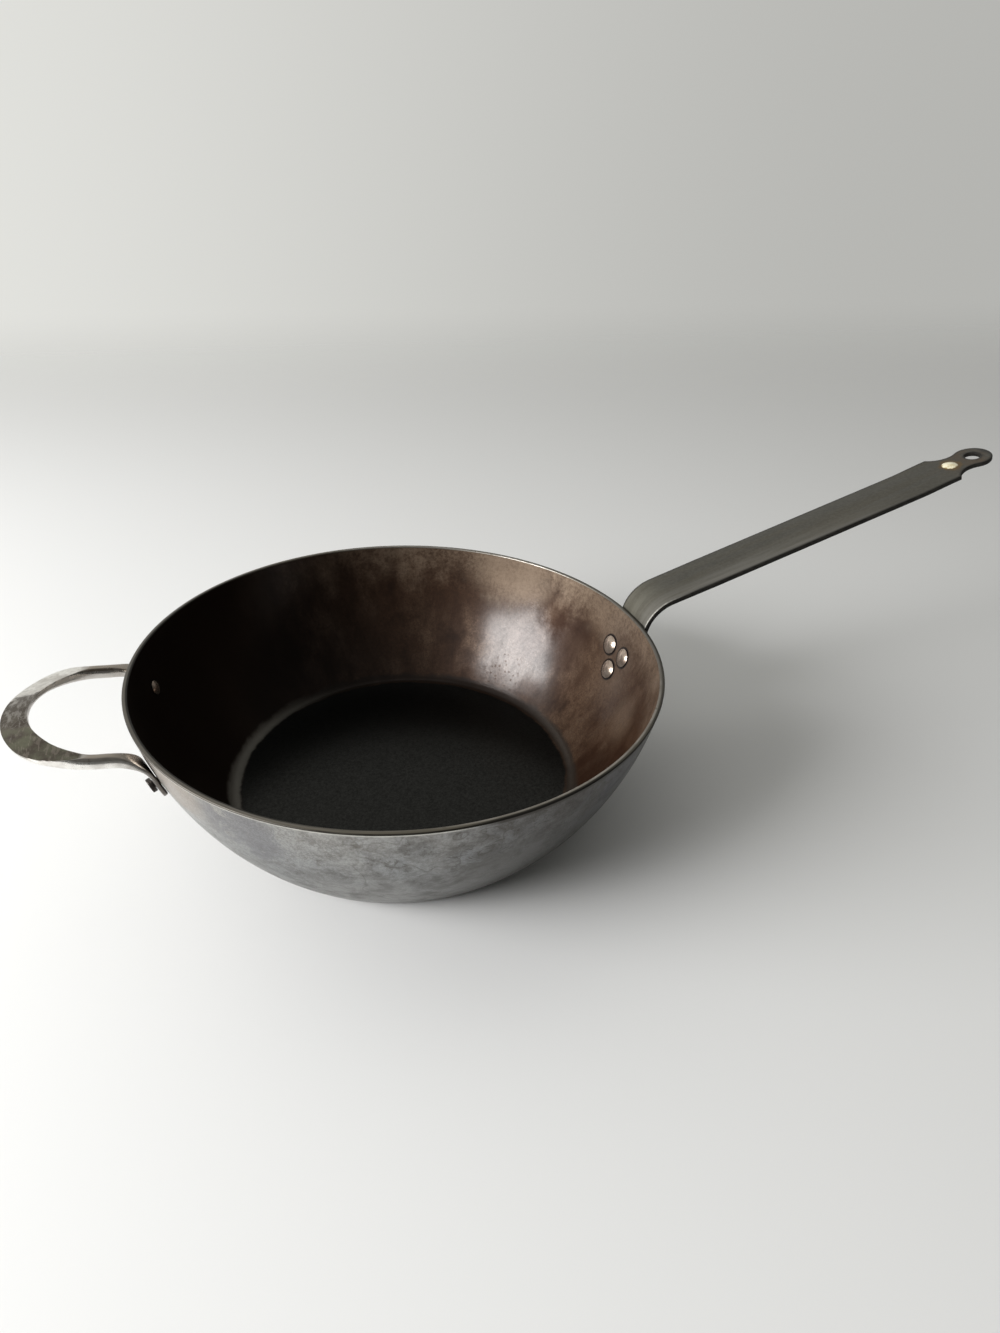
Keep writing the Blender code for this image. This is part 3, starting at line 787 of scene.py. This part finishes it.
def coatedStrip():
    look = stripFinish
    material, coords = startMaterial("coatedStrip")
    tabLength, eye = path["tabLength"], path["eye"]
    flatMap = source(material.node_tree, "UVMap", uv_map="flat").outputs[0]
    fromEdge = attribute(material, "edgeDistance")
    along, across = split(flatMap)[:2]
    stretched = add("Mapping", {"Vector": flatMap, "Scale": (7, 120, 1)}).outputs[0]
    cloudy = mottle(coords, 34, 7, 0.35, 0.7)
    fine = mottle(coords, 520, 4, 0.3, 0.75)
    rusty = mottle(coords, 90, 7, 0.36, 0.62)
    aged = mottle(stretched, 0.9, 6, 0.42, 0.62)
    drawn = mottle(stretched, 3, 5, 0.3, 0.7)
    # painted sheen: the near half of the grip is painted a little lighter, where its crowned top would catch
    # more light
    rubbed = times(remap(across, 0.002, -0.013), remap(along, eye - 0.02, eye - 0.15))
    spread = plus(distance(flatMap, (eye - button["setback"], 0, 0)), times(rusty, -0.0018))
    # near the root the near edge is bare steel, painted bright as a highlight on its rounded corner
    worn = times(remap(fromEdge, 0.0022, 0.0006), remap(fine, 0.2, 0.8, 0.5, 1))
    byRoot = times(remap(along, tabLength + 0.05, tabLength + 0.01), remap(across, 0, -0.012))
    base = mix(remap(along, tabLength + 0.045, tabLength + 0.005), look["coat"], look["rootCoat"])
    base = stack(base, look, [
        (rubbed, 0.9, "paleToneAndSheen"),
        (cloudy, 0.16, "paleToneAndSheen"),
        (aged, 0.55, "olive"),
        (drawn, 0.2, "side"),
        (fine, 0.24, "paleToneAndSheen"),
        (scratches(stretched, 1.6, 0.006, 0.25), 0.07, "bareAndGlint"),
        (times(rusty, remap(along, eye - 0.04, eye + 0.004)), 0.85, "rust"),
        (remap(spread, button["radius"] + 0.0026, button["radius"] - 0.0004), 0.85, "stain"),
        (worn, byRoot, "bareAndGlint"),
        # painted shade: a dark band along the grip's edges, in the cut side's colour
        (times(remap(fromEdge, 0.0024, 0.0005), minus(1, byRoot)), 0.92, "side"),
    ])
    return dress(material, {
        "Base Color": base,
        "Metallic": look["metallic"],
        "Roughness": plus(look["rough"], times(cloudy, 0.05)),
        "Specular IOR Level": look["specular"],
    }, look["bump"], fine)


def cutSide():
    look = stripFinish
    material, coords = startMaterial("cutSide")
    scaly = mottle(coords, 260, 6, 0.35, 0.65)
    return dress(material, {
        "Base Color": mix(scaly, look["side"], look["sideScale"]),
        "Roughness": plus(look["sideRough"], times(scaly, 0.2)),
        "Specular IOR Level": look["sideSpecular"],
    }, look["sideBump"], scaly)


# Rivets and button, each turned about Z and set in place

rivet = {"shank": 0.003, "head": 0.0064, "dome": 0.002, "tail": 0.005, "tailHeight": 0.0022,
         "upperDrop": 0.028, "lowerDrop": 0.043, "pitch": 0.019}
helperRivet = {"shank": 0.00225, "head": 0.0045, "dome": 0.0015, "tail": 0.0041, "tailHeight": 0.0024,
               "drop": 0.025}
rivetForm = {"lip": 0.16, "tailFoot": 0.12, "tailTop": 0.25}    # shares of the dome and of the tail's height
roundSteps = {"turns": 64, "dome": 16, "edge": 4}
button = {"setback": 0.0195, "radius": 0.0053, "seatDepth": 0.0014, "dome": 0.0012, "footEdge": 0.0002}


def turnPart(section, radius):
    # for the finish, fromAxis is 0 at the axis and 1 at the radius
    bm = bmesh.new()
    spinSection(bm, section, roundSteps["turns"])
    closeMesh(bm)
    layer = bm.verts.layers.float.new("fromAxis")
    for vert in bm.verts:
        vert[layer] = hypot(vert.co.x, vert.co.y) / radius
    return bm


def rivetPlaces():
    # size, drop below the rim and heading of each rivet
    upper, drop, turn, tab = rivet["upperDrop"], helperRivet["drop"], helper["turn"], helper["tabAngle"]
    half = rivet["pitch"] / 2 / wallPoint(upper)[0]
    return [(rivet, upper, half), (rivet, upper, -half), (rivet, rivet["lowerDrop"], 0),
            (helperRivet, drop, turn + tab), (helperRivet, drop, turn - tab)]


def makeRivet(name, node, grip, placed, materials):
    # the outer side of the wall is at zero and the domed head is inside the bowl
    size, drop, angle = placed
    head, dome, tail, shank = size["head"], size["dome"], size["tail"], size["shank"]
    underHead = -bowl["sheet"] - seatGap
    underTail = grip + seatGap
    top = underTail + size["tailHeight"]
    lip = dome * rivetForm["lip"]
    foot = size["tailHeight"] * rivetForm["tailFoot"]
    crown = size["tailHeight"] * rivetForm["tailTop"]
    domeR = (head ** 2 + (dome - lip) ** 2) / (2 * (dome - lip))
    domeAngle = asin(min(head / domeR, 1))
    section = arcPoints((0, underHead - dome + domeR), domeR, 0, domeAngle, roundSteps["dome"])
    section += [(head - lip * 0.1, underHead - lip * 0.45), (head - lip * 0.5, underHead)]
    section += [(shank, underHead), (shank, underTail)]
    section += arcPoints((tail - foot, underTail + foot), foot, 0, quarter, roundSteps["edge"])
    section += arcPoints((tail - crown, top - crown), crown, quarter, pi, roundSteps["edge"])
    section.append((0, top))
    bm = turnPart(section, head)
    tailLayer = bm.verts.layers.float.new("tail")
    for vert in bm.verts:
        vert[tailLayer] = 1 if vert.co.z > 0 else 0
    bmesh.ops.transform(bm, matrix=wallPlace(drop, angle), verts=bm.verts)
    fitPiece(newObject(name, bm, materials), node)


def makeButton(materials):
    radius, dome, edge = button["radius"], button["dome"], button["footEdge"]
    domeR = (radius ** 2 + dome ** 2) / (2 * dome)
    foot = seatGap - button["seatDepth"]
    section = [(0, foot), (radius - edge, foot), (radius, foot + edge)]
    section += arcPoints((0, dome - domeR), domeR, pi - asin(radius / domeR), pi, roundSteps["dome"])
    bm = turnPart(section, radius)
    bmesh.ops.transform(bm, matrix=pathPlace(path["eye"] - button["setback"]), verts=bm.verts)
    fitPiece(newObject("button", bm, materials, 50), "handle_button")


rivetFinish = {
    "polished": (0.365, 0.3, 0.247),
    "dull": (0.185, 0.135, 0.108),
    "grimeAndShade": (0.009, 0.005, 0.003),
    "tail": (0.066, 0.059, 0.054),
    "metallic": 0.72,
    "specular": 0.15,
    "rough": 0.18,
    "bump": (0.1, 0.0002),
}


def polishedRivet():
    look = rivetFinish
    material, coords = startMaterial("polishedRivet")
    onTail = attribute(material, "tail")
    grimy = mottle(coords, 260, 6, 0.4, 0.72)
    base = stack(mix(grimy, look["polished"], look["dull"]), look, [
        (scratches(coords, 260, 0.015, 0.5), 0.4, "dull"),
        # the head's edge is dark: partly grime, partly painted shade where it meets the wall
        (remap(attribute(material, "fromAxis"), 0.97, 1), 1, "grimeAndShade"),
    ])
    rough = plus(look["rough"], times(grimy, 0.14))
    return dress(material, {
        "Base Color": mix(onTail, base, mix(grimy, look["tail"], look["grimeAndShade"])),
        "Metallic": look["metallic"],
        "Roughness": plus(rough, times(onTail, 0.12)),
        "Specular IOR Level": look["specular"],
    }, look["bump"], grimy)


enamelFinish = {"cream": (0.8, 0.74, 0.54), "aged": (0.46, 0.36, 0.15), "rim": (0.2, 0.13, 0.045),
                "rough": 0.2, "bump": (0.1, 0.0002)}


def creamEnamel():
    look = enamelFinish
    material, coords = startMaterial("creamEnamel")
    worn = mottle(coords, 330, 5, 0.42, 0.66)
    centre = pathPlace(path["eye"] - button["setback"]).translation.x
    tired = remap(split(coords)[0], centre + 0.002, centre - 0.006)
    base = mix(times(plus(tired, 0.35), worn), look["cream"], look["aged"])
    edged = plus(attribute(material, "fromAxis"), times(worn, 0.12))
    return dress(material, {
        "Base Color": mix(remap(edged, 0.88, 1.04), base, look["rim"]),
        "Roughness": plus(look["rough"], times(worn, 0.15)),
        "Coat Weight": remap(worn, 0, 1, 0.4, 0.1),
    }, look["bump"], worn)


# The helper handle, forged from one round rod

helper = {
    "turn": radians(182.9),
    "rod": 0.0076,
    "halfWidth": 0.0445,
    "legLength": 0.0115,
    "depth": 0.0405,
    "height": 0.0896,
    "rise": radians(8.9),
    "gripWidth": 0.0132,
    "gripThickness": 0.0056,
    "gripTilt": radians(20),
    "tabAngle": radians(17.2),
    "tabWidth": 0.015,
    "tabThickness": 0.0025,
    "tabDrop": 0.034,
    "tabTop": 0.018,
    "tabSquare": 5,     # 2 is a round section, more is squarer
    "gripSquare": 2.6,
    "bendReach": 0.011,
    "bendPull": 0.45,
    "hammered": 0.5,      # share of the grip's upper half that the hammered flat takes off
    "hammerEdge": 0.00025,
    "forgeStart": radians(6),    # where on the loop the rod begins to flatten, and how soon it is flat
    "forgeRun": radians(52),
    "sectionPoints": 64,
    "endSteps": 14,
    "tabSteps": 8,
    "loopSteps": 64,
    "bendSteps": 24,
}


def loopPoint(outward, across):
    rise = helper["rise"]
    return Vector((-(panHigh.x + outward * cos(rise)), across, helper["height"] + outward * sin(rise)))


def helperStations():
    # centre, width direction, width, thickness, squareness and flat of each section, tab end to mid grip
    angle, rise, depth, halfWidth = helper["tabAngle"], helper["rise"], helper["depth"], helper["halfWidth"]
    width, thick, rod = helper["tabWidth"], helper["tabThickness"], helper["rod"]
    square, top, leg = helper["tabSquare"], helper["tabTop"], helper["legLength"]
    offset = seatGap + thick / 2
    tabSide = Vector((-sin(angle), -cos(angle), 0))
    legSide = Vector((0, -1, 0))

    def onWall(drop):
        reach, height = wallPoint(drop, offset)
        return Vector((-reach * cos(angle), reach * sin(angle), height))

    tabLow = helper["tabDrop"] - width / 2
    stations = []
    for share in shares(helper["endSteps"]):
        turn = quarter * share
        centre = onWall(tabLow + width / 2 * cos(turn))
        stations.append((centre, tabSide, width * sin(turn), thick, square, 0))
    for share in shares(helper["tabSteps"]):
        centre = onWall(tabLow + (top - tabLow) * share)
        stations.append((centre, tabSide, width, thick, square, 0))
    # a curve leads from the tab up and out to the leg
    start, end = onWall(top), loopPoint(helper["bendReach"], halfWidth)
    pull = (end - start).length * helper["bendPull"]
    startPull = start + (start - onWall(top + 0.0001)).normalized() * pull
    endPull = end - (loopPoint(1, 0) - loopPoint(0, 0)).normalized() * pull
    for share in shares(helper["bendSteps"]):
        rest = 1 - share
        centre = (start * rest ** 3 + startPull * 3 * rest ** 2 * share
                  + endPull * 3 * rest * share ** 2 + end * share ** 3)
        gather = smoothStep(share * 1.25)
        thicken = smoothStep((share - 0.1) / 0.8)
        stations.append((centre, tabSide.lerp(legSide, share), width + (rod - width) * gather,
                         thick + (rod - thick) * thicken, square + (2 - square) * thicken, 0))
    stations.append((loopPoint(leg, halfWidth), legSide, rod, rod, 2, 0))
    # half of the loop, forged flatter and wider towards its end
    normal = directions(0, quarter - rise)[0]
    for share in shares(helper["loopSteps"]):
        turn = quarter * share
        out = depth * cos(turn)
        heading = Vector((-out * cos(rise), -halfWidth * sin(turn), out * sin(rise))).normalized()
        forged = smoothStep((turn - helper["forgeStart"]) / helper["forgeRun"])
        lean = helper["gripTilt"] * forged
        stations.append((
            loopPoint(leg + depth * sin(turn), halfWidth * cos(turn)),
            normal.cross(heading) * cos(lean) + normal * sin(lean),
            rod + (helper["gripWidth"] - rod) * forged,
            rod + (helper["gripThickness"] - rod) * forged,
            2 + (helper["gripSquare"] - 2) * forged,
            forged,
        ))
    return stations


def makeHelperHandle(materials):
    stations = helperStations()
    bm = bmesh.new()
    flatLayer = bm.verts.layers.float.new("flat")
    crestLayer = bm.verts.layers.float.new("crest")
    count = helper["sectionPoints"]
    last = None
    for index, (centre, side, width, thickness, square, forged) in enumerate(stations):
        before = stations[max(index - 1, 0)][0]
        after = stations[min(index + 1, len(stations) - 1)][0]
        heading = (after - before).normalized()
        if index == len(stations) - 1:
            heading = Vector((0, -1, 0))
        side = (side - heading * side.dot(heading)).normalized()
        up = heading.cross(side)
        ring = bmesh.ops.create_circle(bm, cap_ends=False, radius=1, segments=count)["verts"]
        ringEdges = list({edge for vert in ring for edge in vert.link_edges})
        for step, vert in enumerate(ring):
            turn = tau * step / count
            across = copysign(abs(cos(turn)) ** (2 / square), cos(turn)) * width / 2
            above = copysign(abs(sin(turn)) ** (2 / square), sin(turn)) * thickness / 2
            vert[crestLayer] = max(sin(turn), 0)
            # the hammered flat cuts the round away above its own height
            if forged > 0 and above > 0:
                full = above * (1 + 4 * forged ** 1.2)
                flatHeight = thickness / 2 * (1 - helper["hammered"] * forged)
                above = flatHeight - smoothMax(flatHeight - full, helper["hammerEdge"])
                flat = smoothStep((full - flatHeight * 0.95) / (flatHeight * 0.1))
                vert[flatLayer] = flat * min(forged * 20, 1)
            vert.co = centre + side * across + up * above
        if last:
            bmesh.ops.bridge_loops(bm, edges=last + ringEdges)
        last = ringEdges
    tabEnd = [edge for edge in bm.edges if edge.is_boundary and edge.verts[0].co.z < 0.09]
    bmesh.ops.holes_fill(bm, edges=tabEnd)
    bmesh.ops.mirror(bm, geom=whole(bm), axis="Y", merge_dist=2e-5)
    closeMesh(bm)
    bmesh.ops.rotate(bm, cent=(0, 0, 0), matrix=Matrix.Rotation(helper["turn"] - pi, 3, "Z"), verts=bm.verts)
    fitPiece(newObject("helperHandle", bm, materials, 60), "helper_handle")


forgedFinish = {
    "silver": (0.5, 0.475, 0.445),
    "polished": (0.92, 0.9, 0.86),
    "brown": (0.175, 0.142, 0.112),
    "crest": (0.33, 0.29, 0.25),
    "flat": (0.165, 0.148, 0.12),
    "flatDark": (0.08, 0.066, 0.054),
    "olive": (0.14, 0.138, 0.1),
    "tab": (0.115, 0.1, 0.088),
    "rough": 0.25,
    "bump": (0.14, 0.0003),
}


def forgedSteel():
    look = forgedFinish
    material, coords = startMaterial("forgedSteel")
    flat = attribute(material, "flat")
    crest = attribute(material, "crest")
    sideways = split(coords)[1]
    radius = turned(coords, output=1)
    cloudy = mottle(coords, 110, 7, 0.36, 0.64)
    fine = mottle(coords, 620, 3, 0.3, 0.7)
    lines = scratches(coords, 240, 0.022, 0.9)
    hatched = add("Mapping", {
        "Vector": coords, "Rotation": (0, 0, 0.5), "Scale": (520, 150, 150),
    }).outputs[0]
    rubbed = mottle(hatched, 1, 5, 0.48, 0.62)
    nearHalf = remap(sideways, 0, -0.03)
    # round rod: silver with a brown stripe beside its crest
    stripe = times(remap(crest, 0.5, 0.66), remap(crest, 0.95, 0.84))
    rod = stack(mix(nearHalf, look["silver"], look["polished"]), look, [
        (cloudy, 0.35, "crest"),
        (remap(crest, 0.8, 0.95), 1, "crest"),
        (stripe, remap(cloudy, 0, 1, 1, 0.6), "brown"),
    ])
    # hammered flat: silver far side, dark scratched end, olive near side
    where = plus(plus(sideways, 0.01), times(minus(cloudy, 0.5), 0.012))
    farSide = remap(where, 0.012, 0.024)
    byEnd = times(remap(where, 0.023, 0.015), remap(where, -0.02, -0.008))
    nearTone = mix(cloudy, look["olive"], look["flatDark"])
    nearTone = stack(nearTone, look, [(remap(rubbed, 0.3, 0.9), 0.3, "crest")])
    farTone = mix(times(cloudy, 0.5), look["polished"], look["crest"])
    face = mix(cloudy, look["flat"], look["flatDark"])
    face = mix(remap(where, -0.012, -0.024), face, nearTone)
    face = stack(mix(farSide, face, farTone), look, [
        (byEnd, 0.65, "flatDark"),
        (times(calc("MAXIMUM", rubbed, lines), byEnd), 0.38, "silver"),
        (fine, 0.18, "flatDark"),
    ])
    # painted highlight: a bright silver line where the hammered flat meets the round
    corner = times(times(flat, minus(1, flat)), 3.4)
    base = stack(mix(flat, rod, face), look, [
        (corner, 0.8, "silver"),
        (times(remap(radius, 0.176, 0.165), nearHalf), 0.55, "tab"),
        (remap(radius, 0.163, 0.157), 0.8, "tab"),
    ])
    rough = plus(look["rough"], times(flat, 0.16))
    rough = minus(rough, times(times(flat, farSide), 0.12))
    field = plus(times(cloudy, 0.6), times(fine, 0.4))
    return dress(material, {
        "Base Color": base,
        "Metallic": 1,
        "Roughness": plus(rough, times(cloudy, 0.06)),
    }, look["bump"], field)


makeBowl([seasonedInside(), heatedOutside(), wornRim()])
makeStripHandle([coatedStrip(), cutSide()])
makeHelperHandle([forgedSteel()])
rivetSteel = polishedRivet()
rivetNodes = {
    "rivetLeft": "handle_rivet_left",
    "rivetRight": "handle_rivet_right",
    "rivetLower": "handle_rivet_lower",
    "helperRivetLeft": "helper_rivet_left",
    "helperRivetRight": "helper_rivet_right",
}
for (pieceName, node), placed in zip(rivetNodes.items(), rivetPlaces()):
    held = strip["thickness"] if placed[0] is rivet else helper["tabThickness"]
    makeRivet(pieceName, node, seatGap + held, placed, [rivetSteel])
makeButton([creamEnamel()])


# Studio: camera, floor, light

studio = {
    "cameraPlace": (-0.0957, -0.4147, 0.3534),
    "cameraHeading": radians(68.865),
    "cameraPitch": radians(-32.143),
    "cameraRoll": radians(2.462),
    "lens": 21.6,
    "floorColour": (0.8, 0.8, 0.795),
    "floorHalf": 8,
    "floorRough": 0.6,
    "floorSpecular": 0.3,
    "floorFade": (0.5, 2),    # how far behind the pan the floor begins to fade, and is gone
    "windowHeading": radians(183.8),
    "windowRise": radians(23.5),
    "windowTurn": radians(25),
    "windowDistance": 1.73,
    "windowSize": (1.22, 0.74),
    "windowPower": 50.5,
    "room": 0.075,
    "wallLeft": 0.7,
    "wallRight": 0.38,
    "windowSide": 0.06,
    "ceiling": 0.1,
    "tint": (1, 1, 0.955),
}


def setCamera():
    data = bpy.data.cameras.new("photoView")
    data.lens = studio["lens"]
    data.clip_start = 0.01
    forward, left = directions(studio["cameraHeading"], studio["cameraPitch"])
    right, roll = -left, studio["cameraRoll"]
    up = right.cross(forward)
    across = right * cos(roll) + up * sin(roll)
    upright = up * cos(roll) - right * sin(roll)
    camera = putObject("photoView", data)
    camera.matrix_world = facing(across, upright, -forward, studio["cameraPlace"])
    bpy.context.scene.camera = camera


def setFloor():
    bm = bmesh.new()
    bmesh.ops.create_grid(bm, x_segments=1, y_segments=1, size=studio["floorHalf"])
    material, coords = startMaterial("paleFloor")
    # behind the pan the floor fades into the pale wall
    fill(material.node_tree.nodes["Principled BSDF"], {
        "Base Color": (*studio["floorColour"], 1),
        "Roughness": studio["floorRough"],
        "Specular IOR Level": studio["floorSpecular"],
        "Alpha": remap(split(coords)[1], *studio["floorFade"], 1, 0),
    })
    newObject("floor", bm, [material])


def setLight():
    data = bpy.data.lights.new("window", "AREA")
    data.shape = "RECTANGLE"
    data.size, data.size_y = studio["windowSize"]
    data.energy = studio["windowPower"]
    away, along = directions(studio["windowHeading"], studio["windowRise"])
    turn = studio["windowTurn"]
    across = along * -cos(turn) - away.cross(along) * sin(turn)
    lamp = putObject("window", data)
    lamp.matrix_world = facing(across, away.cross(across), away, away * studio["windowDistance"])
    lamp.visible_camera = False


def setRoom():
    # a pale wall behind the pan, a soft ceiling and a dim room in front
    world = bpy.data.worlds.new("room")
    bpy.context.scene.world = world
    world.use_nodes = True
    across, away, upward = split(source(world.node_tree, "TexCoord").outputs["Generated"])
    wallLevel = remap(across, -0.4, 0.85, studio["wallLeft"], studio["wallRight"])
    wallLevel = times(wallLevel, remap(across, 0.82, 1, 1, 0.45))
    level = plus(studio["room"], times(remap(away, -0.1, 0.4), wallLevel))
    level = plus(level, remap(across, 0.2, -0.9, 0, studio["windowSide"]))
    level = plus(level, remap(upward, 0.2, 1, 0, studio["ceiling"]))
    fill(world.node_tree.nodes["Background"], {"Strength": level, "Color": (*studio["tint"], 1)})


setCamera()
setFloor()
setLight()
setRoom()
bpy.context.scene.view_settings.view_transform = "Standard"
print("studio set")
